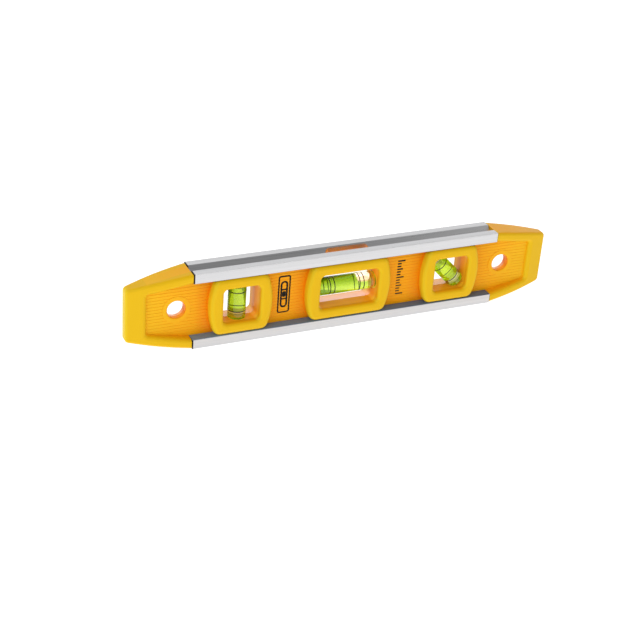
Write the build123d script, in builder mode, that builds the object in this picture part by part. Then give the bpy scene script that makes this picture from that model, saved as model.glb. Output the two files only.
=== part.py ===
from build123d import *
import math
import os

# A nine inch torpedo level. X runs along its length, Y through its thickness with the
# front face towards -Y, and Z is up. The origin is the middle of the face it stands on.
# All sizes are in millimetres.

# overall
overall_length = 228.6
overall_height = 40.0
rail_thickness = 14.8
half_length = overall_length / 2
half_thickness = rail_thickness / 2
mid_z = overall_height / 2

# aluminium rails
rail_length = 164.4
rail_height = 5.0
rail_edge_bevel = 0.2
rail_inner_bevel = 0.2
groove_half_width = 3.1
groove_depth = 2.7
groove_flat_half = groove_half_width - groove_depth
tongue_stem_half = 0.7
tongue_stem_height = 1.4
tongue_head_half = 1.3
tongue_head_height = 1.0
tongue_clearance = 0.1
rail_inner_h = mid_z - rail_height

# viewing slot over the level vial, through the top rail and the plastic
view_slot_x = 0.7
view_slot_length = 24.0
view_slot_width = 5.0

# magnets in the lower rail
magnet_length = 25.0
magnet_width = 5.4
magnet_height = 3.3
magnet_recess = 0.3
magnet_clearance = 0.1
magnet_corner_r = 0.4
magnet_x = 31.0

# plastic shell, split into a front and a rear half on the mid plane
rail_end_gap = 0.3
cap_root_x = rail_length / 2 + rail_end_gap
cap_root_h = 19.9
cap_mid_x = 100.0
cap_mid_h = 16.9
cap_tip_h = 13.9
cap_corner_r = 2.2
cap_mid_half = 5.6
cap_tip_half = 2.7
cap_edge_r = 1.6
cap_root_bevel = 0.2
web_half = 2.2
recess_end_x = 104.2
recess_end_h = 10.8
recess_corner_r = 1.6
rim_edge_r = 2.0

# fine ribs over the recessed web
rib_pitch = 1.65
rib_width = 0.85
rib_height = 0.18
rib_count = 18

# hanging holes and their flat rings
hole_x = 89.0
hole_r = 4.55
hole_ring_width = 2.5
hole_ring_height = 0.3
hole_lip_r = 0.8

# raised window frames, a little proud of the rails
frame_proud = 0.5
frame_depth = half_thickness + frame_proud
side_window_x = 57.3
side_frame_half = 13.2
side_frame_bulge = 16.2
level_frame_half = 19.9
level_frame_bulge = 22.9
frame_half_height = 14.9
frame_corner_r = 4.0
frame_edge_r = 2.4
side_opening = 19.0
level_opening = 31.8
opening_height = 18.6
opening_corner_r = 2.4
opening_edge_r = 2.0
opening_draft = 3.0
draft_inset = frame_depth * math.tan(math.radians(opening_draft))

# locating pins between the halves
pin_r = 1.2
pin_length = 1.5
pin_clearance = 0.05
pin_h = 8.5
pin_inset = 3.4

# vials
vial_r = 4.5
vial_end_r = 2.4
vial_seat_clearance = 0.05
bore_end_r = 3.1
bore_mid_r = 3.3
level_vial_half = 18.0
level_bore_closed = 13.6
level_bore_open = 15.6
small_vial_half = 11.2
small_bore_closed = 5.6
small_bore_open = 8.8
plug_clearance = 0.02
plug_chamfer = 0.3
fluid_clearance = 0.02
ring_width = 0.5
ring_thickness = 0.06
level_ring_at = (-9.2, -6.9, 6.9, 9.2)
small_ring_at = (-5.15, 5.15)
slope_angle = 45.0

# air bubbles
bubble_r = 3.05
bubble_gap = 0.15
bubble_fluid_gap = 0.05
level_bubble_length = 7.4
level_bubble_height = 1.9
level_bubble_width = 5.7
bubble_edge_r = 0.5
plumb_bubble_height = 1.9
slope_surface_h = 4.9

# margin used to pick out edges and to cut clear of a surface
slack = 1.0

bevel_far_x = cap_root_x + cap_root_bevel + slack

# planes seen from the front: local x is X and local y is the height above the middle
front = Plane(origin=(0, 0, mid_z), x_dir=(1, 0, 0), z_dir=(0, -1, 0))
middle = Plane(origin=(0, 0, mid_z), x_dir=(1, 0, 0), z_dir=(0, 0, 1))


def half_shell():
    """One half of the plastic body, from the parting plane out to the front face."""
    with BuildPart() as half:
        # web between the rails with a tapered cap at each end
        with BuildSketch(front) as outline:
            with BuildLine():
                Polyline(
                    (0, rail_inner_h),
                    (cap_root_x, rail_inner_h),
                    (cap_root_x, cap_root_h),
                )
                ThreePointArc(
                    (cap_root_x, cap_root_h),
                    (cap_mid_x, cap_mid_h),
                    (half_length, cap_tip_h),
                )
                Line((half_length, cap_tip_h), (half_length, 0))
                mirror(about=Plane.XZ)
                mirror(about=Plane.YZ)
            make_face()
            tips = outline.vertices().filter_by(lambda v: abs(v.X) > half_length - slack)
            fillet(tips.filter_by(lambda v: abs(v.Y) > slack), cap_corner_r)
        extrude(amount=half_thickness)
        # the caps thin out towards the tips
        with BuildSketch(Plane.XY):
            with BuildLine():
                Line((0, slack), (0, -half_thickness))
                Line((0, -half_thickness), (cap_root_x, -half_thickness))
                ThreePointArc(
                    (cap_root_x, -half_thickness),
                    (cap_mid_x, -cap_mid_half),
                    (half_length, -cap_tip_half),
                )
                Polyline(
                    (half_length, -cap_tip_half),
                    (half_length + slack, -cap_tip_half),
                    (half_length + slack, slack),
                    (0, slack),
                )
            make_face()
            mirror(about=Plane.YZ)
        extrude(amount=overall_height, mode=Mode.INTERSECT)
        rim = half.edges().filter_by(
            lambda e: abs(e.center().X) > cap_root_x + slack
            and e.center().Y < -cap_tip_half / 2
        )
        fillet(rim, cap_edge_r)
        # recess on the web
        with BuildSketch(front.offset(web_half)) as recess:
            recess_outline()
        extrude(amount=half_thickness, mode=Mode.SUBTRACT)
        lip = half.edges().filter_by(
            lambda e: cap_root_x + slack < abs(e.center().X) < recess_end_x + slack
            and e.center().Y < -web_half - slack
            and abs(e.center().Z - mid_z) < (rail_inner_h + recess_end_h) / 2 + slack
        )
        fillet(lip, rim_edge_r)
        # small bevels where the caps meet the rails' ends
        with BuildSketch(front):
            for x_side in (1, -1):
                for z_side in (1, -1):
                    Polygon(
                        (x_side * cap_root_x, z_side * (cap_root_h - cap_root_bevel)),
                        (x_side * bevel_far_x, z_side * (cap_root_h + slack)),
                        (x_side * cap_root_x, z_side * (cap_root_h + slack)),
                        align=None,
                    )
        extrude(amount=half_thickness, mode=Mode.SUBTRACT)
        for base_z in (0, mid_z + rail_inner_h):
            with BuildSketch(Plane.XY.offset(base_z)):
                for x_side in (1, -1):
                    Polygon(
                        (x_side * cap_root_x, cap_root_bevel - half_thickness),
                        (x_side * bevel_far_x, -half_thickness - slack),
                        (x_side * cap_root_x, -half_thickness - slack),
                        align=None,
                    )
            extrude(amount=rail_height, mode=Mode.SUBTRACT)
        # ribs and hole rings
        add(web_ribs())
        with BuildSketch(front.offset(web_half)):
            with Locations((-hole_x, 0), (hole_x, 0)):
                Circle(hole_r + hole_ring_width)
        extrude(amount=hole_ring_height)
        # window frames
        for centre, half_x, bulge, width in windows:
            with Locations((centre, 0, 0)):
                add(frame_block(half_x, bulge))
        for centre, half_x, bulge, width in windows:
            with BuildSketch(front):
                with Locations((centre, 0)):
                    RectangleRounded(
                        width - 2 * draft_inset,
                        opening_height - 2 * draft_inset,
                        opening_corner_r - draft_inset,
                    )
            extrude(
                amount=frame_depth + slack, taper=-opening_draft, mode=Mode.SUBTRACT
            )
            edge = half.edges().filter_by(
                lambda e: abs(e.center().X - centre) < width / 2 + slack
                and e.center().Y < -half_thickness
                and abs(e.center().Z - mid_z) < opening_height / 2 + slack
            )
            fillet(edge, opening_edge_r)
        # hanging holes
        with BuildSketch(front):
            with Locations((-hole_x, 0), (hole_x, 0)):
                Circle(hole_r)
        extrude(amount=half_thickness, mode=Mode.SUBTRACT)
        rings = half.edges().filter_by(
            lambda e: e.geom_type == GeomType.CIRCLE
            and abs(e.radius - hole_r) < hole_lip_r
            and abs(abs(e.arc_center.X) - hole_x) < hole_lip_r
            and e.arc_center.Y < -web_half
        )
        fillet(rings, hole_lip_r)
        # groove for each rail's tongue
        with BuildSketch(Plane.YZ.offset(-cap_root_x)):
            with Locations((0, mid_z)):
                for side in (1, -1):
                    stem_z = side * (rail_inner_h - tongue_stem_height / 2)
                    head_h = tongue_head_height + 2 * tongue_clearance
                    head_z = side * (
                        rail_inner_h - tongue_stem_height - tongue_head_height / 2
                    )
                    with Locations((0, stem_z)):
                        Rectangle(
                            2 * (tongue_stem_half + tongue_clearance),
                            tongue_stem_height,
                        )
                    with Locations((0, head_z)):
                        Rectangle(2 * (tongue_head_half + tongue_clearance), head_h)
        extrude(amount=2 * cap_root_x, mode=Mode.SUBTRACT)
        # seats for the three vials
        for centre, turn, length in vials:
            with Locations(Location((centre, 0, mid_z), (0, 90 + turn, 0))):
                Cylinder(
                    vial_r + vial_seat_clearance,
                    2 * (length + vial_seat_clearance),
                    mode=Mode.SUBTRACT,
                )
        # viewing slot down to the level vial
        with BuildSketch(middle):
            with Locations((view_slot_x, 0)):
                SlotOverall(view_slot_length, view_slot_width)
        extrude(amount=mid_z, mode=Mode.SUBTRACT)
    return half.part


def recess_outline():
    """Outline of the recess, drawn in the open sketch."""
    with BuildSketch(mode=Mode.PRIVATE) as area:
        with BuildLine():
            Polyline(
                (0, rail_inner_h),
                (cap_root_x, rail_inner_h),
                (recess_end_x, recess_end_h),
                (recess_end_x, 0),
            )
            mirror(about=Plane.XZ)
            mirror(about=Plane.YZ)
        make_face()
        corners = area.vertices().filter_by(lambda v: abs(v.X) > recess_end_x - slack)
        fillet(corners.filter_by(lambda v: abs(v.Y) > slack), recess_corner_r)
    add(area.sketch)


def web_ribs():
    """Fine level ribs over the web, left off the rings around the hanging holes."""
    with BuildPart() as ribs:
        with BuildSketch(front.offset(web_half)):
            with GridLocations(rib_pitch, rib_pitch, 1, rib_count):
                Rectangle(overall_length, rib_width)
        extrude(amount=rib_height)
        with BuildSketch(front.offset(web_half)):
            recess_outline()
            with Locations((-hole_x, 0), (hole_x, 0)):
                Circle(hole_r + hole_ring_width, mode=Mode.SUBTRACT)
        extrude(amount=rib_height, mode=Mode.INTERSECT)
    return ribs.part


def frame_block(half_x, bulge):
    """A raised window frame with bowed ends, before its opening is cut."""
    with BuildPart() as block:
        with BuildSketch(front) as shape:
            with BuildLine():
                Line((-half_x, frame_half_height), (half_x, frame_half_height))
                ThreePointArc(
                    (half_x, frame_half_height), (bulge, 0), (half_x, -frame_half_height)
                )
                Line((half_x, -frame_half_height), (-half_x, -frame_half_height))
                ThreePointArc(
                    (-half_x, -frame_half_height), (-bulge, 0), (-half_x, frame_half_height)
                )
            make_face()
            fillet(shape.vertices(), frame_corner_r)
        extrude(amount=frame_depth)
        fillet(block.faces().sort_by(Axis.Y)[0].edges(), frame_edge_r)
    return block.part


def rail_blank():
    """The upper rail: flat lands beside a V groove, and a T tongue underneath."""
    stem_h = rail_inner_h - tongue_stem_height
    head_h = stem_h - tongue_head_height
    with BuildPart() as rail:
        with BuildSketch(Plane.YZ.offset(-rail_length / 2)):
            with Locations((0, mid_z)):
                with BuildSketch(mode=Mode.PRIVATE) as section:
                    with BuildLine():
                        Polyline(
                            (0, mid_z - groove_depth),
                            (groove_flat_half, mid_z - groove_depth),
                            (groove_half_width, mid_z),
                            (half_thickness - rail_edge_bevel, mid_z),
                            (half_thickness, mid_z - rail_edge_bevel),
                            (half_thickness, rail_inner_h + rail_inner_bevel),
                            (half_thickness - rail_inner_bevel, rail_inner_h),
                            (tongue_stem_half, rail_inner_h),
                            (tongue_stem_half, stem_h),
                            (tongue_head_half, stem_h),
                            (tongue_head_half, head_h),
                            (0, head_h),
                        )
                        mirror(about=Plane.YZ)
                    make_face()
                add(section.sketch)
        extrude(amount=rail_length)
    return rail.part


def bore_shape(closed, open_end, inset):
    """The barrel shaped inside of a vial, lying along X with its closed end at +X."""
    middle_x = (closed - open_end) / 2
    with BuildPart() as bore:
        with BuildSketch(Plane.XZ):
            with BuildLine():
                Line((closed - inset, 0), (closed - inset, bore_end_r - inset))
                ThreePointArc(
                    (closed - inset, bore_end_r - inset),
                    (middle_x, bore_mid_r - inset),
                    (-open_end + inset, bore_end_r - inset),
                )
                Polyline(
                    (-open_end + inset, bore_end_r - inset),
                    (-open_end + inset, 0),
                    (closed - inset, 0),
                )
            make_face()
        revolve(axis=Axis.X)
    return bore.part


def vial_tube(half, closed, open_end):
    """A clear tube lying along X: rounded solid end at +X, open end at -X."""
    with BuildPart() as tube:
        Cylinder(vial_r, 2 * half, rotation=(0, 90, 0))
        fillet(tube.edges().sort_by(Axis.X)[-1], vial_end_r)
        add(bore_shape(closed, open_end, 0), mode=Mode.SUBTRACT)
        with Locations((-(half + open_end) / 2, 0, 0)):
            Cylinder(bore_end_r, half - open_end, rotation=(0, 90, 0), mode=Mode.SUBTRACT)
    return tube.part


def vial_plug(half, open_end):
    """The stopper in a vial's open end."""
    with BuildPart() as plug:
        with Locations((-(half + open_end) / 2, 0, 0)):
            Cylinder(bore_end_r - plug_clearance, half - open_end, rotation=(0, 90, 0))
        chamfer(plug.edges().sort_by(Axis.X)[0], plug_chamfer)
    return plug.part


def vial_rings(places):
    """Black reading lines printed round a vial."""
    with BuildPart() as rings:
        for place in places:
            with Locations((place, 0, 0)):
                Cylinder(vial_r + ring_thickness, ring_width, rotation=(0, 90, 0))
                Cylinder(vial_r, ring_width, rotation=(0, 90, 0), mode=Mode.SUBTRACT)
    return rings.part


def level_bubble_shape(grow):
    """Air against the top of the level vial, at the closed end, its underside flat."""
    centre = level_bore_closed - bubble_gap - level_bubble_length / 2
    floor = bubble_r - level_bubble_height - grow
    with BuildPart() as air:
        with BuildSketch(Plane.XY.offset(floor)):
            with Locations((centre, 0)):
                SlotOverall(level_bubble_length + 2 * grow, level_bubble_width + 2 * grow)
        extrude(amount=level_bubble_height + 2 * grow)
        Cylinder(
            bubble_r + grow, 4 * level_bore_closed, rotation=(0, 90, 0), mode=Mode.INTERSECT
        )
    return air.part


def plumb_bubble_shape(grow, end_gap):
    """Air under the plug of an upright vial."""
    top = -small_bore_open + end_gap
    bottom = -small_bore_open + bubble_gap + plumb_bubble_height + grow
    with BuildPart() as air:
        with Locations(((top + bottom) / 2, 0, 0)):
            Cylinder(bubble_r + grow, bottom - top, rotation=(0, 90, 0))
        fillet(air.edges().sort_by(Axis.X)[-1], bubble_edge_r)
    return air.part


def slope_bubble_shape(grow, end_gap):
    """Air in the upper end of the sloping vial, cut off by a level liquid surface."""
    top = -small_bore_open + end_gap
    length = 2 * small_vial_half
    with BuildPart() as air:
        with Locations((top + length / 2, 0, 0)):
            Cylinder(bubble_r + grow, length, rotation=(0, 90, 0))
        with Locations(Location((0, 0, 0), (0, -slope_angle, 0))):
            with Locations((0, 0, slope_surface_h - grow + length / 2)):
                Box(2 * length, length, length, mode=Mode.INTERSECT)
    return air.part


def fluid_shape(closed, open_end, bubble):
    """The liquid that fills a vial round its bubble."""
    with BuildPart() as liquid:
        add(bore_shape(closed, open_end, fluid_clearance))
        add(bubble, mode=Mode.SUBTRACT)
    return liquid.part


windows = (
    (-side_window_x, side_frame_half, side_frame_bulge, side_opening),
    (0.0, level_frame_half, level_frame_bulge, level_opening),
    (side_window_x, side_frame_half, side_frame_bulge, side_opening),
)
# centre, turn about Y from lying along X, half length
vials = (
    (-side_window_x, 90.0, small_vial_half),
    (0.0, 0.0, level_vial_half),
    (side_window_x, slope_angle, small_vial_half),
)
plumb_place = Location((-side_window_x, 0, mid_z), (0, 90, 0))
level_place = Location((0, 0, mid_z), (0, 0, 0))
slope_place = Location((side_window_x, 0, mid_z), (0, slope_angle, 0))
pin_places = [
    (centre + side * (bulge - pin_inset), side * pin_h)
    for centre, half_x, bulge, width in windows
    for side in (1, -1)
]

# ---- plastic halves
with BuildPart() as shell_front:
    add(half_shell())
    with BuildSketch(front):
        with Locations(*pin_places):
            Circle(pin_r)
    extrude(amount=-pin_length)

with BuildPart() as shell_rear:
    add(mirror(half_shell(), about=Plane.XZ))
    with BuildSketch(front):
        with Locations(*pin_places):
            Circle(pin_r + pin_clearance)
    extrude(amount=-(pin_length + pin_clearance), mode=Mode.SUBTRACT)

# ---- rails
with BuildPart() as rail_top:
    add(rail_blank())
    with BuildSketch(middle):
        with Locations((view_slot_x, 0)):
            SlotOverall(view_slot_length, view_slot_width)
    extrude(amount=overall_height, mode=Mode.SUBTRACT)

with BuildPart() as rail_bottom:
    add(mirror(rail_blank(), about=middle))
    with BuildSketch(Plane.XY):
        with Locations((-magnet_x, 0), (magnet_x, 0)):
            RectangleRounded(
                magnet_length + 2 * magnet_clearance,
                magnet_width + 2 * magnet_clearance,
                magnet_corner_r + magnet_clearance,
            )
    extrude(amount=magnet_recess + magnet_height, mode=Mode.SUBTRACT)

# ---- magnets
with BuildPart() as magnet_left:
    with BuildSketch(Plane.XY.offset(magnet_recess)):
        with Locations((-magnet_x, 0)):
            RectangleRounded(magnet_length, magnet_width, magnet_corner_r)
    extrude(amount=magnet_height)

with BuildPart() as magnet_right:
    with BuildSketch(Plane.XY.offset(magnet_recess)):
        with Locations((magnet_x, 0)):
            RectangleRounded(magnet_length, magnet_width, magnet_corner_r)
    extrude(amount=magnet_height)

# ---- level vial
with BuildPart() as level_tube:
    with Locations(level_place):
        add(vial_tube(level_vial_half, level_bore_closed, level_bore_open))
with BuildPart() as level_plug:
    with Locations(level_place):
        add(vial_plug(level_vial_half, level_bore_open))
with BuildPart() as level_rings:
    with Locations(level_place):
        add(vial_rings(level_ring_at))
with BuildPart() as level_fluid:
    with Locations(level_place):
        add(
            fluid_shape(
                level_bore_closed, level_bore_open, level_bubble_shape(bubble_fluid_gap)
            )
        )
with BuildPart() as level_bubble:
    with Locations(level_place):
        add(level_bubble_shape(0))

# ---- plumb vial, upright with its plug at the top
with BuildPart() as plumb_tube:
    with Locations(plumb_place):
        add(vial_tube(small_vial_half, small_bore_closed, small_bore_open))
with BuildPart() as plumb_plug:
    with Locations(plumb_place):
        add(vial_plug(small_vial_half, small_bore_open))
with BuildPart() as plumb_rings:
    with Locations(plumb_place):
        add(vial_rings(small_ring_at))
with BuildPart() as plumb_fluid:
    with Locations(plumb_place):
        add(
            fluid_shape(
                small_bore_closed, small_bore_open, plumb_bubble_shape(bubble_fluid_gap, 0)
            )
        )
with BuildPart() as plumb_bubble:
    with Locations(plumb_place):
        add(plumb_bubble_shape(0, bubble_gap))

# ---- sloping vial, its plug at the upper left
with BuildPart() as slope_tube:
    with Locations(slope_place):
        add(vial_tube(small_vial_half, small_bore_closed, small_bore_open))
with BuildPart() as slope_plug:
    with Locations(slope_place):
        add(vial_plug(small_vial_half, small_bore_open))
with BuildPart() as slope_rings:
    with Locations(slope_place):
        add(vial_rings(small_ring_at))
with BuildPart() as slope_fluid:
    with Locations(slope_place):
        add(
            fluid_shape(
                small_bore_closed, small_bore_open, slope_bubble_shape(bubble_fluid_gap, 0)
            )
        )
with BuildPart() as slope_bubble:
    with Locations(slope_place):
        add(slope_bubble_shape(0, bubble_gap))

# ---- name and save every piece
os.makedirs("parts", exist_ok=True)

shell_front.part.label = "shell_front"
shell_rear.part.label = "shell_rear"
rail_top.part.label = "rail_top"
rail_bottom.part.label = "rail_bottom"
magnet_left.part.label = "magnet_left"
magnet_right.part.label = "magnet_right"
level_tube.part.label = "level_tube"
level_plug.part.label = "level_plug"
level_rings.part.label = "level_rings"
level_fluid.part.label = "level_fluid"
level_bubble.part.label = "level_bubble"
plumb_tube.part.label = "plumb_tube"
plumb_plug.part.label = "plumb_plug"
plumb_rings.part.label = "plumb_rings"
plumb_fluid.part.label = "plumb_fluid"
plumb_bubble.part.label = "plumb_bubble"
slope_tube.part.label = "slope_tube"
slope_plug.part.label = "slope_plug"
slope_rings.part.label = "slope_rings"
slope_fluid.part.label = "slope_fluid"
slope_bubble.part.label = "slope_bubble"

export_step(shell_front.part, "parts/shell_front.step")
export_step(shell_rear.part, "parts/shell_rear.step")
export_step(rail_top.part, "parts/rail_top.step")
export_step(rail_bottom.part, "parts/rail_bottom.step")
export_step(magnet_left.part, "parts/magnet_left.step")
export_step(magnet_right.part, "parts/magnet_right.step")
export_step(level_tube.part, "parts/level_tube.step")
export_step(level_plug.part, "parts/level_plug.step")
export_step(level_rings.part, "parts/level_rings.step")
export_step(level_fluid.part, "parts/level_fluid.step")
export_step(level_bubble.part, "parts/level_bubble.step")
export_step(plumb_tube.part, "parts/plumb_tube.step")
export_step(plumb_plug.part, "parts/plumb_plug.step")
export_step(plumb_rings.part, "parts/plumb_rings.step")
export_step(plumb_fluid.part, "parts/plumb_fluid.step")
export_step(plumb_bubble.part, "parts/plumb_bubble.step")
export_step(slope_tube.part, "parts/slope_tube.step")
export_step(slope_plug.part, "parts/slope_plug.step")
export_step(slope_rings.part, "parts/slope_rings.step")
export_step(slope_fluid.part, "parts/slope_fluid.step")
export_step(slope_bubble.part, "parts/slope_bubble.step")
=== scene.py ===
import bpy
import math
from mathutils import Matrix, Vector


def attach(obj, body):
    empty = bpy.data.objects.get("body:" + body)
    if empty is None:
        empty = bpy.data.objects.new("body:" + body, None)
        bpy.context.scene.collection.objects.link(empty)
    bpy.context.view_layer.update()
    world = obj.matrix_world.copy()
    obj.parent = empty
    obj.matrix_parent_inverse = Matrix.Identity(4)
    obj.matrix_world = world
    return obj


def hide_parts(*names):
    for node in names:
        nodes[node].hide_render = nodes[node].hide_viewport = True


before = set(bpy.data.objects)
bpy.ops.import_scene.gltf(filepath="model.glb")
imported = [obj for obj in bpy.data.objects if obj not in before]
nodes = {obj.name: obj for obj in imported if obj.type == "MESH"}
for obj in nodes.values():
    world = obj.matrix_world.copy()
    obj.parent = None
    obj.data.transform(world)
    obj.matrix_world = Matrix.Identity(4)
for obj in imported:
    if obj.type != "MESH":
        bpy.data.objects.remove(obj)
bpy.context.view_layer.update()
scene = bpy.context.scene

MM = 0.001
MID_Z = 0.020

# where the colours of the body change, in metres
WEB_DEPTH, FACE_DEPTH = 0.0029, 0.0040  # from the mid plane: recess colour, painted as shade, and raised colour
CAP_FACE_FROM, CAP_FACE_FULL = 0.1040, 0.1046  # along the level: past the recess's end
TIP_FROM, TIP_FULL = 0.0720, 0.1000  # along the level: the recess's painted shade turns yellower
OPENING_HALF_H, OPENING_R = 0.0093, 0.003
FRAME_HALF_H, FRAME_R = 0.0130, 0.004
HOLE_X, HOLE_R = 0.089, 0.0048
NOOK_WIDTH, NOOK_FULL = 0.0100, 0.0020  # painted shade beside the left side of each frame
SEAT_DEPTH = 0.0050
SLOT_X, SLOT_HALF, SLOT_R = 0.0007, 0.0126, 0.0027
SLOT_FLOOR_Z = 0.0250
CRISP, SOFT, WALL_SOFT = 0.0001, 0.0002, 0.0005  # widths of changes of colour
# where the finish and the painted light and shade of the rails change, in metres
RAIL_EDGE_Y, RAIL_FACE_Y = 0.00720, 0.00730
RAIL_INNER_H, RAIL_OUTER_H = 0.0152, 0.01980
GROOVE_HALF, GROOVE_FLOOR_H = 0.0030, 0.0170
RAIL_END_X = 0.0817
FADE_END_X = 0.080  # long fades of colour along the level run to here
# the vials: middle of each in metres and its turn in degrees, and the bore's ends in millimetres
PLUMB_X, SLOPE_X = -0.0573, 0.0573
PLUMB_TURN, SLOPE_TURN = 90, 45
LEVEL_CLOSED, LEVEL_OPEN = 13.6, 15.6
SMALL_CLOSED, SMALL_OPEN = 5.6, 8.8
LEVEL_HALF, SMALL_HALF = 18.0, 11.2
TUBE_R, TUBE_END_R, PLUG_R = 4.5, 2.4, 3.12  # mm
BORE_END_R, BORE_MID_R = 3.06, 3.26  # mm
BEVEL, BORE_ROUND_MID = 0.25, (0.07, 0.08)  # mm: edges' size, and the middle point of a round one
# refractive indexes: each inner surface has the ratio of the two materials that meet there
ACRYLIC_IOR, SPIRIT_IOR, AIR_IOR = 1.49, 1.42, 1.0


# ---------------------------------------------------------------- shader helpers
class Tree:
    """Short names for building a node tree."""

    def __init__(self, name):
        self.mat = bpy.data.materials.new(name)
        self.mat.use_nodes = True
        self.t = self.mat.node_tree
        self.t.nodes.clear()
        self.out = self.add("ShaderNodeOutputMaterial")

    def add(self, kind, **props):
        n = self.t.nodes.new(kind)
        for k, v in props.items():
            setattr(n, k, v)
        return n

    def put(self, node, socket, value):
        s = node.inputs[socket]
        if isinstance(value, bpy.types.NodeSocket):
            self.t.links.new(value, s)
        elif value is not None:
            s.default_value = value

    def math(self, op, a, b=None):
        n = self.add("ShaderNodeMath", operation=op)
        self.put(n, 0, a)
        self.put(n, 1, b)
        return n.outputs[0]

    def parts_of(self, output):
        """One of the texture coordinates, whole and as its X, Y and Z."""
        whole = self.add("ShaderNodeTexCoord").outputs[output]
        parts = self.add("ShaderNodeSeparateXYZ")
        self.put(parts, 0, whole)
        return whole, parts.outputs[0], parts.outputs[1], parts.outputs[2]

    def coords(self):
        """The object's own coordinates, in metres."""
        return self.parts_of("Object")

    def facing(self):
        """X, Y and Z of the surface's direction, in the object's own axes."""
        return self.parts_of("Normal")[1:]

    def scaled(self, vector, scale):
        m = self.add("ShaderNodeMapping")
        self.put(m, "Vector", vector)
        self.put(m, "Scale", scale)
        return m.outputs[0]

    def noise(self, vector, scale, detail=3.0, rough=0.5):
        n = self.add("ShaderNodeTexNoise")
        self.put(n, "Vector", vector)
        self.put(n, "Scale", scale)
        self.put(n, "Detail", detail)
        self.put(n, "Roughness", rough)
        return n.outputs["Fac"]

    def ramp(self, fac, stops):
        n = self.add("ShaderNodeValToRGB")
        r = n.color_ramp
        while len(r.elements) > 1:
            r.elements.remove(r.elements[-1])
        r.elements[0].position, r.elements[0].color = stops[0][0], stops[0][1]
        for pos, col in stops[1:]:
            e = r.elements.new(pos)
            e.color = col
        self.put(n, "Fac", fac)
        return n.outputs["Color"]

    def span(self, value, lo, hi, to_lo, to_hi):
        n = self.add("ShaderNodeMapRange")
        self.put(n, "Value", value)
        self.put(n, "From Min", lo)
        self.put(n, "From Max", hi)
        self.put(n, "To Min", to_lo)
        self.put(n, "To Max", to_hi)
        return n.outputs[0]

    def mix(self, fac, a, b):
        n = self.add("ShaderNodeMix", data_type="RGBA")
        self.put(n, "Factor", fac)
        self.put(n, 6, a)
        self.put(n, 7, b)
        return n.outputs[2]

    def bump(self, height, strength, distance):
        n = self.add("ShaderNodeBump")
        self.put(n, "Height", height)
        self.put(n, "Strength", strength)
        self.put(n, "Distance", distance)
        return n.outputs[0]

    def surface(self, **inputs):
        b = self.add("ShaderNodeBsdfPrincipled")
        for k, v in inputs.items():
            self.put(b, k.replace("_", " "), v)
        self.t.links.new(b.outputs[0], self.out.inputs["Surface"])


def lin(r, g, b):
    """sRGB 0 to 255 to linear, opaque."""
    return tuple(
        (c / 255 / 12.92) if c <= 10.3 else ((c / 255 + 0.055) / 1.055) ** 2.4
        for c in (r, g, b)
    ) + (1.0,)


# colours of the plastic body, linear; besides its own yellow they hold painted shade and painted
# light
YELLOW_A, YELLOW_B = (0.80, 0.475, 0.004, 1), (0.84, 0.51, 0.006, 1)  # raised faces
ORANGE_A, ORANGE_B = (0.93, 0.38, 0.004, 1), (0.97, 0.41, 0.006, 1)  # recessed web: the same plastic, painted more orange as shade
TIP = (0.91, 0.51, 0.010, 1)  # the web near the tips, where its painted shade is lighter
NOOK_SHADE = (0.88, 0.29, 0.003, 1)  # painted shade on the web beside the left of a frame
PAINTED_LEFT_LIGHT = (0.80, 0.55, 0.012, 1)  # painted light on raised faces that look left
TOP_SHADE_LEFT, TOP_SHADE_RIGHT = 0.15, 0.60  # share of painted orange shade in faces that look up
LIT_WALL = (0.96, 0.38, 0.005, 1)  # painted light: walls of the openings that look up
SHADED_WALL = (0.84, 0.25, 0.003, 1)  # painted shade: their other walls, front half
DEEP_SHADED_WALL = (0.66, 0.18, 0.002, 1)  # deeper painted shade: their other walls, rear half
INK = lin(26, 24, 22)
# its finish, and painted light: a glow at the vial seats and in the slot, standing in for light
# scattered in the plastic, and a painted reflection on one shelf
ROUGH_A, ROUGH_B = 0.34, 0.42
SIDE_POLISH = 0.08
GLOW, GLOW_STRENGTH = (0.80, 0.36, 0.03, 1.0), 0.35
SLOT_GLOW, SLOT_STRENGTH = (0.66, 0.29, 0.012, 1.0), 0.45
# painted reflection of the bright backdrop on the rear shelf of the level's opening
SHELF_REFLECTION, SHELF_REFLECTION_STRENGTH = (0.60, 0.38, 0.60, 1.0), 0.36
# the aluminium rails
ALU_LO, ALU_MID, ALU_HI = (0.54, 0.54, 0.55, 1), (0.62, 0.62, 0.63, 1), (0.70, 0.70, 0.71, 1)
ALU_ROUGH_A, ALU_ROUGH_B, INNER_EXTRA_ROUGH = 0.26, 0.38, 0.25
FINE_BRUSHING, WIDE_BRUSHING = (14, 2600, 2600), (6, 500, 500)
# painted shade on the faces inside the body, left and right
INNER_SHADE_LEFT, INNER_SHADE_RIGHT = (0.20, 0.31, 0.45, 1), (0.12, 0.185, 0.30, 1)
# painted light in the groove, and a painted highlight on the outer long edges
GROOVE_LIGHT = (0.88, 0.88, 0.89, 1)
EDGE_HIGHLIGHT = (0.80, 0.80, 0.80, 1)
# painted shade at the rails' left ends
END_SHADE = (0.03, 0.03, 0.03, 1)


# ---------------------------------------------------------------- masks
EDGE = 0.00006  # half width of a crisp edge


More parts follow.
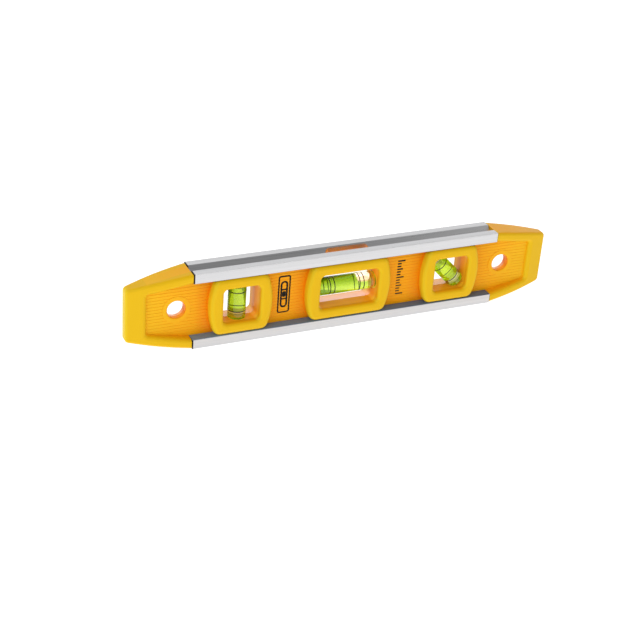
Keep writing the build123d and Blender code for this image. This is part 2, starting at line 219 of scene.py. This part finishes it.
def box_distance(t, x, z, cx, cz, hx, hz, r):
    """Signed distance, in metres, to a rounded box in the plane of the two coordinates."""
    dx = t.math("SUBTRACT", t.math("ABSOLUTE", t.math("SUBTRACT", x, cx)), hx - r)
    dz = t.math("SUBTRACT", t.math("ABSOLUTE", t.math("SUBTRACT", z, cz)), hz - r)
    ox = t.math("MAXIMUM", dx, 0.0)
    oz = t.math("MAXIMUM", dz, 0.0)
    outside = t.math(
        "SQRT", t.math("ADD", t.math("MULTIPLY", ox, ox), t.math("MULTIPLY", oz, oz))
    )
    inside = t.math("MINIMUM", t.math("MAXIMUM", dx, dz), 0.0)
    return t.math("SUBTRACT", t.math("ADD", outside, inside), r)


def line_of(t, distance, width):
    """1 within half a width of a zero distance, with a soft edge."""
    d = t.math("ABSOLUTE", distance)
    return t.span(d, width / 2 + EDGE, width / 2 - EDGE, 0.0, 1.0)


def fill_of(t, distance, edge=EDGE):
    """1 where the distance is below zero, with a soft edge."""
    return t.span(distance, edge, -edge, 0.0, 1.0)


def any_of(t, masks):
    """The highest of some masks."""
    joined = masks[0]
    for m in masks[1:]:
        joined = t.math("MAXIMUM", joined, m)
    return joined


def all_of(t, masks):
    """The product of some masks."""
    joined = masks[0]
    for m in masks[1:]:
        joined = t.math("MULTIPLY", joined, m)
    return joined


def outside_of(t, mask):
    """1 where the mask is 0, and 0 where it is 1."""
    return t.math("SUBTRACT", 1.0, mask)


# each window's middle, and half lengths of its opening and of the frame round it, in metres
LEVEL_WINDOW = (0.0, 0.0159, 0.0196)
WINDOWS = ((PLUMB_X, 0.0095, 0.0130), LEVEL_WINDOW, (SLOPE_X, 0.0095, 0.0130))


def opening_of(t, x, z, window):
    """1 inside a window's opening, all the way through the body."""
    mid, half, _ = window
    box = box_distance(t, x, z, mid, MID_Z, half, OPENING_HALF_H, OPENING_R)
    return fill_of(t, box, WALL_SOFT)


def framed_of(t, x, z, window):
    """1 inside a window's raised frame, the opening included."""
    mid, _, frame_half = window
    return fill_of(t, box_distance(t, x, z, mid, MID_Z, frame_half, FRAME_HALF_H, FRAME_R), SOFT)


def nook_of(t, x, window):
    """Rises from 0 to 1 towards the left side of a window's frame, and ends there."""
    mid, _, frame_half = window
    left = mid - frame_half
    return t.math(
        "MULTIPLY",
        t.span(x, left - NOOK_WIDTH, left - NOOK_FULL, 0.0, 1.0),
        t.span(x, left, left + WALL_SOFT, 1.0, 0.0),
    )


# ---------------------------------------------------------------- printed marks
# in metres: places along the level, half sizes, and the ticks' half lengths
PICTOGRAM_X, SCALE_X = -0.0335, 0.0284
BORDER_BOX, BORDER_LINE = (0.0029, 0.0098, 0.0009), 0.0008
VIAL_BOX, VIAL_LINE = (0.0015, 0.0068, 0.0015), 0.0010
BUBBLE_BOX = (0.0010, 0.0016, 0.0008)
RING_BOX, RING_AT = (0.0014, 0.0004, 0.0), 0.0025
TICKS, TICK_STEP, TICK_HALF_W = 13, 0.00153, 0.00038
LONG_TICK, MID_TICK, SHORT_TICK = 0.0021, 0.0016, 0.0011
WEB_FRONT = 0.0020  # the marks lie on faces further forward than this


def marks_of(t, x, y, z):
    """A vial pictogram in a rounded frame, and a short scale, printed on the front web."""

    def box(cx, up, sizes):
        return box_distance(t, x, z, cx, MID_Z + up, *sizes)

    marks = [
        line_of(t, box(PICTOGRAM_X, 0.0, BORDER_BOX), BORDER_LINE),
        line_of(t, box(PICTOGRAM_X, 0.0, VIAL_BOX), VIAL_LINE),
        fill_of(t, box(PICTOGRAM_X, 0.0, BUBBLE_BOX)),
    ]
    for up in (-RING_AT, RING_AT):
        marks.append(fill_of(t, box(PICTOGRAM_X, up, RING_BOX)))
    for i in range(TICKS):
        half = LONG_TICK if i % 6 == 0 else MID_TICK if i % 3 == 0 else SHORT_TICK
        up = TICK_STEP * (i - TICKS // 2)
        marks.append(fill_of(t, box(SCALE_X + half, up, (half, TICK_HALF_W, 0.0))))
    front = t.span(y, -WEB_FRONT, -WEB_FRONT - CRISP, 0.0, 1.0)
    return t.math("MULTIPLY", any_of(t, marks), front)


# ---------------------------------------------------------------- materials
def body_colour(t, vec, x, y, z, facing, cut, shelf):
    """Yellow on raised faces, orange as painted shade in the recesses, painted light and shade by
    facing, and the marks over both.
    """
    depth = t.math("ABSOLUTE", y)
    raised = any_of(
        t,
        [
            t.span(depth, WEB_DEPTH, FACE_DEPTH, 0.0, 1.0),
            t.span(t.math("ABSOLUTE", x), CAP_FACE_FROM, CAP_FACE_FULL, 0.0, 1.0),
        ],
    )
    tone = t.noise(t.scaled(vec, (40, 40, 40)), 1.0, 3.0)
    yellow = t.mix(tone, YELLOW_A, YELLOW_B)
    orange = t.mix(tone, ORANGE_A, ORANGE_B)
    # towards the tips the recess's painted shade turns yellower
    tip = t.span(t.math("ABSOLUTE", x), TIP_FROM, TIP_FULL, 0.0, 1.0)
    # painted shade: the recess is painted orange, the raised faces yellow
    colour = t.mix(raised, t.mix(tip, orange, TIP), yellow)
    # painted shade: faces that look up are painted more orange, more so to the right
    up = t.math(
        "MULTIPLY",
        t.span(facing[2], 0.55, 0.95, 0.0, 1.0),
        t.span(x, -FADE_END_X, FADE_END_X, TOP_SHADE_LEFT, TOP_SHADE_RIGHT),
    )
    colour = t.mix(up, colour, orange)
    # painted light: raised faces that look left are painted yellower
    left_light_mask = t.span(facing[0], -0.15, -0.75, 0.0, 1.0)
    colour = t.mix(t.math("MULTIPLY", left_light_mask, raised), colour, PAINTED_LEFT_LIGHT)
    # painted shade: the web is painted deepest orange where it meets the left side of each frame
    nook_shade = any_of(t, [nook_of(t, x, w) for w in WINDOWS])
    skin = t.span(depth, WEB_FRONT, WEB_FRONT + CRISP, 0.0, 1.0)
    colour = t.mix(all_of(t, [nook_shade, outside_of(t, raised), skin]), colour, NOOK_SHADE)
    # painted light and shade on walls of openings and holes: by which way they look, and by front
    # or rear half
    wall_shade = t.mix(t.span(y, -WALL_SOFT, WALL_SOFT, 0.0, 1.0), SHADED_WALL, DEEP_SHADED_WALL)
    colour = t.mix(cut, colour, t.mix(shelf, wall_shade, LIT_WALL))
    return t.mix(marks_of(t, x, y, z), colour, INK)


def body_glow(t, x, y, z, walls, shelf, rear):
    """Colour and strength of painted light: a glow at the vial seats and in the slot, and a
    painted reflection on one shelf.
    """
    framed = any_of(t, [framed_of(t, x, z, w) for w in WINDOWS])
    inside = t.span(t.math("ABSOLUTE", y), SEAT_DEPTH, SEAT_DEPTH + SOFT, 1.0, 0.0)
    seat = all_of(t, [framed, outside_of(t, walls), inside])
    slot = all_of(
        t,
        [
            fill_of(t, box_distance(t, x, y, SLOT_X, 0.0, SLOT_HALF, SLOT_R, SLOT_R), SOFT / 2),
            t.span(z, SLOT_FLOOR_Z, SLOT_FLOOR_Z + 0.0010, 0.0, 1.0),
            t.span(x, 0.0030, 0.0090, 1.0, 0.35),
        ],
    )
    shelf_reflection = all_of(t, [opening_of(t, x, z, LEVEL_WINDOW), shelf, rear])
    glow = t.mix(shelf_reflection, t.mix(slot, GLOW, SLOT_GLOW), SHELF_REFLECTION)
    strength = t.math(
        "ADD",
        t.math("MULTIPLY", seat, GLOW_STRENGTH),
        t.math(
            "ADD",
            t.math("MULTIPLY", slot, SLOT_STRENGTH),
            t.math("MULTIPLY", shelf_reflection, SHELF_REFLECTION_STRENGTH),
        ),
    )
    return glow, strength


def plastic():
    """Glossy moulded plastic, polished on the rear walls of its openings, with painted shade and
    painted light in its colour and glow.
    """
    t = Tree("yellow_plastic")
    vec, x, y, z = t.coords()
    facing = t.facing()
    walls = any_of(t, [opening_of(t, x, z, w) for w in WINDOWS])
    holes = any_of(
        t,
        [
            fill_of(t, box_distance(t, x, z, mid, MID_Z, HOLE_R, HOLE_R, HOLE_R), SOFT)
            for mid in (-HOLE_X, HOLE_X)
        ],
    )
    cut = any_of(t, [walls, holes])
    shelf = t.span(facing[2], 0.45, 0.85, 0.0, 1.0)
    rear = t.span(y, 0.0, SOFT, 0.0, 1.0)
    polish = t.span(facing[2], 0.20, 0.80, SIDE_POLISH, 1.0)
    glow, strength = body_glow(t, x, y, z, walls, shelf, rear)
    fine = t.noise(vec, 2600.0, 2.0)
    broad = t.noise(vec, 90.0, 2.0)
    t.surface(
        Base_Color=body_colour(t, vec, x, y, z, facing, cut, shelf),
        Roughness=t.span(broad, 0.3, 0.7, ROUGH_A, ROUGH_B),
        Normal=t.bump(fine, 0.10, 0.00006),
        IOR=1.5,
        Specular_IOR_Level=0.12,
        Coat_Weight=all_of(t, [cut, rear, polish]),
        Coat_Roughness=0.04,
        Coat_IOR=2.5,
        # painted light: glow at the vial seats and in the slot, and a painted reflection on one
        # shelf
        Emission_Color=glow,
        Emission_Strength=strength,
    )
    return t.mat


def aluminium():
    """Extruded aluminium, brushed along its length, rougher and with painted shade on the faces
    inside the body, painted shade at the left ends, painted light in the groove and a painted
    highlight on the outer long edges.
    """
    t = Tree("brushed_aluminium")
    vec, x, y, z = t.coords()
    streak = t.noise(t.scaled(vec, FINE_BRUSHING), 1.0, 4.0, 0.6)
    wide = t.noise(t.scaled(vec, WIDE_BRUSHING), 1.0, 2.0)
    tone = t.math("ADD", t.math("MULTIPLY", streak, 0.6), t.math("MULTIPLY", wide, 0.4))
    base = t.ramp(tone, [(0.25, ALU_LO), (0.5, ALU_MID), (0.75, ALU_HI)])
    across = t.math("ABSOLUTE", y)
    height = t.math("ABSOLUTE", t.math("SUBTRACT", z, MID_Z))
    inner = all_of(
        t,
        [
            t.span(across, RAIL_FACE_Y + EDGE, RAIL_FACE_Y, 0.0, 1.0),
            t.span(height, RAIL_INNER_H + CRISP, RAIL_INNER_H, 0.0, 1.0),
        ],
    )
    # painted shade: the faces inside the body are painted dark and not metallic, changing along
    # the level
    inner_shade = t.mix(t.span(x, -FADE_END_X, FADE_END_X, 0.0, 1.0), INNER_SHADE_LEFT, INNER_SHADE_RIGHT)
    # painted light: the groove is painted brighter towards the right, and a painted highlight
    # lies along the outer long edges
    groove_light = all_of(
        t,
        [
            t.span(across, GROOVE_HALF + CRISP, GROOVE_HALF, 0.0, 1.0),
            t.span(height, GROOVE_FLOOR_H, GROOVE_FLOOR_H + CRISP, 0.0, 1.0),
            t.span(x, -FADE_END_X / 4, FADE_END_X, 0.0, 1.0),
        ],
    )
    base = t.mix(groove_light, base, GROOVE_LIGHT)
    edge = all_of(
        t,
        [
            t.span(across, RAIL_EDGE_Y, RAIL_EDGE_Y + CRISP / 5, 0.0, 1.0),
            t.span(height, RAIL_OUTER_H, RAIL_OUTER_H + CRISP / 5, 0.0, 1.0),
        ],
    )
    base = t.mix(edge, base, EDGE_HIGHLIGHT)
    # painted shade: the left ends are painted nearly black
    base = t.mix(t.span(x, -RAIL_END_X, -RAIL_END_X - SOFT, 0.0, 1.0), base, END_SHADE)
    t.surface(
        Base_Color=t.mix(inner, base, inner_shade),
        Metallic=outside_of(t, any_of(t, [inner, edge])),
        Roughness=t.math(
            "ADD",
            t.span(streak, 0.3, 0.7, ALU_ROUGH_A, ALU_ROUGH_B),
            t.math("MULTIPLY", inner, INNER_EXTRA_ROUGH),
        ),
        Normal=t.bump(streak, 0.22, 0.00003),
        IOR=1.35,
    )
    return t.mat


def ferrite():
    """Dark grey ceramic magnet with a fine grain."""
    t = Tree("ferrite_magnet")
    vec = t.coords()[0]
    grain = t.noise(vec, 1500.0, 4.0, 0.7)
    base = t.ramp(grain, [(0.3, lin(44, 44, 47)), (0.7, lin(74, 74, 78))])
    t.surface(
        Base_Color=base,
        Metallic=0.35,
        Roughness=t.span(grain, 0.3, 0.7, 0.48, 0.66),
        Normal=t.bump(grain, 0.35, 0.00008),
    )
    return t.mat


def ink():
    """Black paint of the vials' reading lines."""
    t = Tree("black_ink")
    vec = t.coords()[0]
    grain = t.noise(vec, 3000.0, 2.0)
    t.surface(
        Base_Color=t.ramp(grain, [(0.3, lin(14, 15, 12)), (0.7, lin(26, 27, 22))]),
        Roughness=t.span(grain, 0.3, 0.7, 0.40, 0.52),
    )
    return t.mat


def stopper():
    """Pale plastic of the vials' plugs."""
    t = Tree("stopper_plastic")
    vec = t.coords()[0]
    grain = t.noise(vec, 900.0, 3.0)
    t.surface(
        Base_Color=t.ramp(grain, [(0.3, lin(214, 216, 196)), (0.7, lin(226, 228, 210))]),
        Roughness=t.span(grain, 0.3, 0.7, 0.30, 0.42),
        Normal=t.bump(grain, 0.15, 0.00005),
        Subsurface_Weight=0.15,
        Subsurface_Radius=(0.002, 0.002, 0.001),
    )
    return t.mat


def along_of(t, x, z, centre, turn):
    """Distance along a vial from its middle towards its closed end."""
    a = math.radians(turn)
    return t.math(
        "SUBTRACT",
        t.math("MULTIPLY", t.math("SUBTRACT", x, centre), math.cos(a)),
        t.math("MULTIPLY", t.math("SUBTRACT", z, MID_Z), math.sin(a)),
    )


def acrylic(name, centre, turn, closed, end_tint):
    """Clear body of a vial; past the closed end of its bore it is solid, and there it has a
    painted tint that stands in for the colours seen through it.
    """
    t = Tree(name)
    vec, x, _, z = t.coords()
    slow = t.noise(vec, 120.0, 2.0)
    clear_tint = t.ramp(slow, [(0.3, lin(234, 230, 196)), (0.7, lin(240, 236, 205))])
    along = along_of(t, x, z, centre, turn)
    # painted tint past the closed end, for the colours seen through the solid acrylic
    solid = t.span(along, closed, closed + 0.0006, 0.0, 1.0)
    t.surface(
        Base_Color=t.mix(solid, clear_tint, end_tint),
        Roughness=0.0,
        IOR=ACRYLIC_IOR,
        Transmission_Weight=1.0,
    )
    return t.mat


def spirit(name, axis, stops, glow_lo, glow_hi, thin=None):
    """Dyed liquid: its tint deepens across the vial along one axis, as painted light and shade,
    and the dye glows a little, partly as painted light.

    thin is (x from, x to, z from): the stretch where only a film of liquid lies over the air,
    painted near white, partly as a painted highlight.
    """
    t = Tree(name)
    vec, x, _, z = t.coords()
    slow = t.noise(vec, 120.0, 2.0)
    lo, hi = stops[0][0], stops[-1][0]
    where = t.span(x if axis == "x" else z, lo, hi, 0.0, 1.0)
    where = t.math("ADD", where, t.span(slow, 0.3, 0.7, -0.02, 0.02))
    # painted light and shade: the tint changes across the vial
    tint = t.ramp(where, [((p - lo) / (hi - lo), c) for p, c in stops])
    if thin:
        film = all_of(
            t,
            [
                t.span(x, thin[0] - FILM_SOFT, thin[0] + FILM_SOFT, 0.0, 1.0),
                t.span(x, thin[1] - FILM_SOFT, thin[1] + FILM_SOFT, 1.0, 0.0),
                t.span(z, thin[2] - FILM_SOFT, thin[2] + FILM_SOFT, 0.0, 1.0),
            ],
        )
        # painted highlight: near white where the thin film lies over the bubble
        tint = t.mix(film, tint, FILM_AND_HIGHLIGHT)
    t.surface(
        Base_Color=tint,
        Roughness=0.0,
        IOR=SPIRIT_IOR / ACRYLIC_IOR,
        Transmission_Weight=1.0,
        Emission_Color=DYE_AND_PAINTED_GLOW,
        # painted light: the glow's strength changes across the vial
        Emission_Strength=t.span(where, 0.0, 1.0, glow_lo, glow_hi),
    )
    return t.mat


def air(name, tint_lo, tint_hi, z_lo, z_hi, glow, strength):
    """Air bubble, painted with light: its tint goes from tint_lo to tint_hi between z_lo and
    z_hi, and above z_lo it may glow, in place of the bright light it would catch.
    """
    t = Tree(name)
    vec, _, _, z = t.coords()
    high = t.span(z, z_lo, z_hi, 0.0, 1.0)
    t.surface(
        Base_Color=t.mix(high, tint_lo, tint_hi),
        Roughness=t.span(t.noise(vec, 300.0, 2.0), 0.3, 0.7, 0.0, 0.01),
        IOR=AIR_IOR / SPIRIT_IOR,
        Transmission_Weight=1.0,
        Emission_Color=glow,
        Emission_Strength=t.math("MULTIPLY", high, strength),
    )
    return t.mat


# the vials' colours: film of liquid over air with a painted highlight, dye, painted tints of the
# clear bodies' solid ends for what is seen through them, and air, painted warm below and bright
# above in the level
FILM_AND_HIGHLIGHT, FILM_SOFT = lin(253, 240, 242), 0.0003
DYE_AND_PAINTED_GLOW = (0.30, 0.47, 0.012, 1.0)
AMBER_END, OLIVE_END, GREY_END = lin(238, 214, 150), lin(200, 222, 100), lin(160, 160, 84)
CLEAR, WARM, BRIGHT = lin(255, 255, 252), lin(232, 200, 130), lin(255, 250, 246)
BUBBLE_GLOW, NO_GLOW = (1.0, 0.84, 0.82, 1.0), (1.0, 1.0, 1.0, 1.0)
ACRYLIC = {
    "level": acrylic("level_acrylic", 0.0, 0, LEVEL_CLOSED * MM, AMBER_END),
    "plumb": acrylic("plumb_acrylic", PLUMB_X, PLUMB_TURN, SMALL_CLOSED * MM, OLIVE_END),
    "slope": acrylic("slope_acrylic", SLOPE_X, SLOPE_TURN, SMALL_CLOSED * MM, GREY_END),
}
SPIRIT = {
    "level": spirit(
        "level_spirit_dye",
        "z",
        [
            (0.0168, lin(222, 236, 140)),
            (0.0182, lin(200, 222, 90)),
            (0.0203, lin(164, 200, 54)),
            (0.0218, lin(128, 172, 36)),
            (0.0232, lin(88, 132, 20)),
        ],
        glow_lo=0.40,
        glow_hi=0.03,
        thin=(0.0061, 0.0136, 0.0209),
    ),
    "plumb": spirit(
        "plumb_spirit_dye",
        "x",
        [
            (-0.0605, lin(130, 160, 22)),
            (-0.0590, lin(165, 190, 40)),
            (-0.0573, lin(182, 206, 55)),
            (-0.0541, lin(178, 196, 60)),
        ],
        glow_lo=0.10,
        glow_hi=0.26,
    ),
    "slope": spirit(
        "slope_spirit_dye",
        "x",
        [(0.0520, lin(206, 228, 70)), (0.0590, lin(188, 210, 56)), (0.0640, lin(156, 180, 40))],
        glow_lo=0.42,
        glow_hi=0.20,
    ),
}
AIR = {
    "level": air("level_air", WARM, BRIGHT, 0.0210, 0.0218, BUBBLE_GLOW, 0.7),
    "plumb": air("plumb_air", CLEAR, CLEAR, 0.0, 0.03, NO_GLOW, 0.0),
    "slope": air("slope_air", CLEAR, CLEAR, 0.0, 0.03, NO_GLOW, 0.0),
}


def assign(node, mat):
    """Gives a CAD piece one material."""
    o = nodes[node]
    if not o.material_slots:
        o.data.materials.append(mat)
    for s in o.material_slots:
        s.material = mat


PLASTIC, ALUMINIUM, FERRITE = plastic(), aluminium(), ferrite()
READING_INK, STOPPER = ink(), stopper()
for half in ("front", "rear"):
    assign("shell_" + half, PLASTIC)
for place in ("top", "bottom"):
    assign("rail_" + place, ALUMINIUM)
for side in ("left", "right"):
    assign("magnet_" + side, FERRITE)


# ---------------------------------------------------------------- vials
def lathe(name, profile, place, mat, segments=96):
    """Turns a profile of (along, radius) points, in mm, about X and puts it in place."""
    verts, faces = [], []
    rings = []
    for along, radius in profile:
        if radius < 1e-6:
            rings.append([len(verts)])
            verts.append(place @ Vector((along * MM, 0, 0)))
            continue
        ring = []
        for k in range(segments):
            a = 2 * math.pi * k / segments
            ring.append(len(verts))
            verts.append(
                place
                @ Vector(
                    (along * MM, radius * MM * math.cos(a), radius * MM * math.sin(a))
                )
            )
        rings.append(ring)
    for a, b in zip(rings, rings[1:]):
        for k in range(segments):
            j = (k + 1) % segments
            if len(a) == 1:
                faces.append((a[0], b[k], b[j]))
            elif len(b) == 1:
                faces.append((a[k], b[0], a[j]))
            else:
                faces.append((a[k], b[k], b[j], a[j]))
    mesh = bpy.data.meshes.new(name)
    mesh.from_pydata([tuple(v) for v in verts], [], faces)
    mesh.validate()
    mesh.update()
    o = bpy.data.objects.new(name, mesh)
    scene.collection.objects.link(o)
    for p in mesh.polygons:
        p.use_smooth = True
    mesh.materials.append(mat)
    return o


def quarter_round(along, radius, r, steps=14):
    """Quarter of a circle about (along, radius), from facing the end to facing out."""
    angles = [math.radians(90 * i / steps) for i in range(steps + 1)]
    return [(along + r * math.cos(a), radius + r * math.sin(a)) for a in angles]


def barrel(closed, opened, r_end, r_mid, steps=24):
    """Bore profile from the closed end to the open end, widest in the middle."""
    near, low = BORE_ROUND_MID
    pts = [(closed, 0.0), (closed, r_end - BEVEL)]
    pts += [(closed - near, r_end - low), (closed - BEVEL, r_end)]
    span = closed + opened - 2 * BEVEL
    for i in range(1, steps):
        u = i / steps
        pts.append((closed - BEVEL - span * u, r_end + (r_mid - r_end) * 4 * u * (1 - u)))
    pts += [(-opened + BEVEL, r_end), (-opened + near, r_end - low), (-opened, r_end - BEVEL)]
    pts.append((-opened, 0.0))
    return pts


def vial(kind, place, half, closed, opened):
    """Clear outer body, and the liquid inside it, each as one closed surface."""
    outer = [(half, 0.0)]
    outer += quarter_round(half - TUBE_END_R, TUBE_R - TUBE_END_R, TUBE_END_R)
    outer += [(-half + BEVEL, TUBE_R), (-half, TUBE_R - BEVEL), (-half, PLUG_R), (-half, 0.0)]
    tube = lathe(kind + "_clear", outer, place, ACRYLIC[kind])
    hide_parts(kind + "_tube")
    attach(tube, "level_body")
    bore = barrel(closed, opened, BORE_END_R, BORE_MID_R)
    liquid = lathe(kind + "_spirit", bore, place, SPIRIT[kind])
    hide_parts(kind + "_fluid")
    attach(liquid, "level_body")


def place_of(x, turn):
    """Where a vial's middle goes, and which way its axis turns."""
    return Matrix.Translation((x, 0, MID_Z)) @ Matrix.Rotation(math.radians(turn), 4, "Y")


vial("level", place_of(0.0, 0), LEVEL_HALF, LEVEL_CLOSED, LEVEL_OPEN)
vial("plumb", place_of(PLUMB_X, PLUMB_TURN), SMALL_HALF, SMALL_CLOSED, SMALL_OPEN)
vial("slope", place_of(SLOPE_X, SLOPE_TURN), SMALL_HALF, SMALL_CLOSED, SMALL_OPEN)
for kind in ("level", "plumb", "slope"):
    assign(kind + "_rings", READING_INK)
    assign(kind + "_plug", STOPPER)
    assign(kind + "_bubble", AIR[kind])

# ---------------------------------------------------------------- floor, light and camera
# brightness by height, from the horizon (0) to straight up (1), then by front and back
SKY = ((0.0, 1.0), (0.30, 1.0), (0.50, 0.85), (0.72, 0.38), (1.0, 0.25))
FRONT_DIM, BACK_GAIN = 0.75, 1.15
FLOOR_GLOW = 0.95
FLOOR_HALF, FLOOR_DROP = 3.0, 0.00005  # metres


def sky():
    """Soft studio surround: bright low down and behind, dimmer overhead and in front."""
    world = bpy.data.worlds.new("studio")
    scene.world = world
    world.use_nodes = True
    t = world.node_tree
    bg = t.nodes["Background"]
    c = t.nodes.new("ShaderNodeTexCoord")
    s = t.nodes.new("ShaderNodeSeparateXYZ")
    t.links.new(c.outputs["Generated"], s.inputs[0])
    r = t.nodes.new("ShaderNodeValToRGB")
    r.color_ramp.elements.remove(r.color_ramp.elements[-1])
    r.color_ramp.elements[0].position = SKY[0][0]
    r.color_ramp.elements[0].color = (SKY[0][1],) * 3 + (1.0,)
    for pos, level in SKY[1:]:
        r.color_ramp.elements.new(pos).color = (level, level, level, 1.0)
    t.links.new(s.outputs[2], r.inputs["Fac"])
    m = t.nodes.new("ShaderNodeMapRange")
    m.inputs["From Min"].default_value = -0.5
    m.inputs["From Max"].default_value = 0.5
    m.inputs["To Min"].default_value = FRONT_DIM
    m.inputs["To Max"].default_value = BACK_GAIN
    t.links.new(s.outputs[1], m.inputs["Value"])
    t.links.new(r.outputs["Color"], bg.inputs["Color"])
    t.links.new(m.outputs[0], bg.inputs["Strength"])


sky()


def floor():
    """Pale floor just under the level; it is staging, not part of the object."""
    t = Tree("pale_floor")
    vec = t.coords()[0]
    grain = t.noise(vec, 8.0, 2.0)
    t.surface(
        Base_Color=t.ramp(grain, [(0.3, (0.36, 0.36, 0.36, 1)), (0.7, (0.38, 0.38, 0.38, 1))]),
        Roughness=0.8,
        Specular_IOR_Level=0.0,
        Emission_Color=(1.0, 1.0, 1.0, 1.0),
        Emission_Strength=FLOOR_GLOW,
    )
    s = FLOOR_HALF
    mesh = bpy.data.meshes.new("floor")
    mesh.from_pydata([(-s, -s, 0), (s, -s, 0), (s, s, 0), (-s, s, 0)], [], [(0, 1, 2, 3)])
    mesh.materials.append(t.mat)
    o = bpy.data.objects.new("floor", mesh)
    scene.collection.objects.link(o)
    o.location.z = -FLOOR_DROP


floor()


def area(name, at, size, power):
    """Rectangular light at a place, in metres, aimed at the middle of the level."""
    data = bpy.data.lights.new(name, "AREA")
    data.shape = "RECTANGLE"
    data.size, data.size_y = size
    data.energy = power
    o = bpy.data.objects.new(name, data)
    scene.collection.objects.link(o)
    o.location = at
    o.rotation_mode = "QUATERNION"
    o.rotation_quaternion = (Vector((0, 0, MID_Z)) - Vector(at)).to_track_quat("-Z", "Y")


area("key", at=(-0.75, -0.70, 0.70), size=(0.7, 0.5), power=3.2)
area("top", at=(-0.2, 0.45, 1.0), size=(0.9, 0.6), power=3.0)

# the camera is fitted to the photo: its place in metres, its own axes and its lens in mm
CAMERA_AT = (-0.29850, -0.57775, 0.35049)
CAMERA_RIGHT = Vector((0.90946, -0.41009, 0.06861))
CAMERA_DOWN = Vector((-0.14141, -0.46025, -0.87646))
CAMERA_AHEAD = Vector((0.39101, 0.78740, -0.47657))
LENS, SENSOR = 82.15, 36.0


def camera():
    data = bpy.data.cameras.new("camera")
    data.lens, data.sensor_width = LENS, SENSOR
    data.clip_start, data.clip_end = 0.02, 20.0
    o = bpy.data.objects.new("camera", data)
    scene.collection.objects.link(o)
    scene.camera = o
    turn = Matrix((CAMERA_RIGHT, -CAMERA_DOWN, -CAMERA_AHEAD)).transposed()
    o.rotation_mode = "QUATERNION"
    o.rotation_quaternion = turn.to_quaternion()
    o.location = CAMERA_AT


camera()

scene.view_settings.view_transform = "Standard"
scene.view_settings.look = "None"
scene.view_settings.exposure = 0.0
scene.view_settings.gamma = 1.0
scene.cycles.max_bounces = 16
scene.cycles.transmission_bounces = 14
scene.cycles.glossy_bounces = 6
scene.cycles.diffuse_bounces = 5
scene.cycles.caustics_refractive = True
scene.cycles.caustics_reflective = False
scene.cycles.sample_clamp_indirect = 6.0
